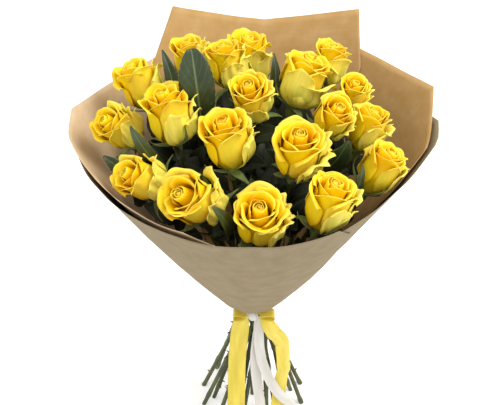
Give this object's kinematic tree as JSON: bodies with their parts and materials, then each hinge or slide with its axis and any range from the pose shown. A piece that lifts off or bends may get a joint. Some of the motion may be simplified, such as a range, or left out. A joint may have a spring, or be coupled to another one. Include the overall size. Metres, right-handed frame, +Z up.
{
  "type": "bouquet of roses",
  "caption": "Hand-tied bouquet of yellow roses in a kraft paper cone, tied with yellow and white ribbon and standing on the splayed ends of its stems.",
  "frame": {"origin": "bottom centre of the bounding box, on the surface that the cut stem ends stand on", "axes": "+Z up along the bouquet's axis, +X to the bouquet's right seen from the front, -Y towards its front, where the ribbons hang"},
  "size_m": [0.3962, 0.3826, 0.4911],
  "materials": {
    "petal": "soft, slightly velvety yellow petals with pale rolled rims",
    "stem": "green wood with nodes and thorns, waxy",
    "leaf": "dark green, half glossy, veined",
    "kraft_paper": "matt brown kraft paper with faint ribs",
    "yellow_satin": "satin weave, soft sheen",
    "white_satin": "satin weave, soft sheen"
  },
  "bodies": {
    "root": {"bloom_01": "petal", "bloom_02": "petal", "bloom_03": "petal", "bloom_04": "petal", "bloom_05": "petal", "bloom_06": "petal", "bloom_07": "petal", "bloom_08": "petal", "bloom_09": "petal", "bloom_10": "petal", "bloom_11": "petal", "bloom_12": "petal", "bloom_13": "petal", "bloom_14": "petal", "bloom_15": "petal", "bloom_16": "petal", "bloom_17": "petal", "bloom_18": "petal", "bloom_19": "petal", "stem_01": "stem", "stem_02": "stem", "stem_03": "stem", "stem_04": "stem", "stem_05": "stem", "stem_06": "stem", "stem_07": "stem", "stem_08": "stem", "stem_09": "stem", "stem_10": "stem", "stem_11": "stem", "stem_12": "stem", "stem_13": "stem", "stem_14": "stem", "stem_15": "stem", "stem_16": "stem", "stem_17": "stem", "stem_18": "stem", "stem_19": "stem", "leaf_01": "leaf", "leaf_02": "leaf", "leaf_03": "leaf", "leaf_04": "leaf", "leaf_05": "leaf", "leaf_06": "leaf", "leaf_07": "leaf", "leaf_08": "leaf", "leaf_09": "leaf", "paper_back": "kraft_paper", "paper_right": "kraft_paper", "paper_left": "kraft_paper", "paper_side": "kraft_paper", "paper_front": "kraft_paper", "ribbon_band": "yellow_satin", "bow_loop_left": "yellow_satin", "bow_loop_right": "yellow_satin", "yellow_tail_front": "yellow_satin", "yellow_tail_right": "yellow_satin", "ribbon_knot": "white_satin", "white_tail_front": "white_satin", "white_tail_back": "white_satin"}
  },
  "joints": []
}
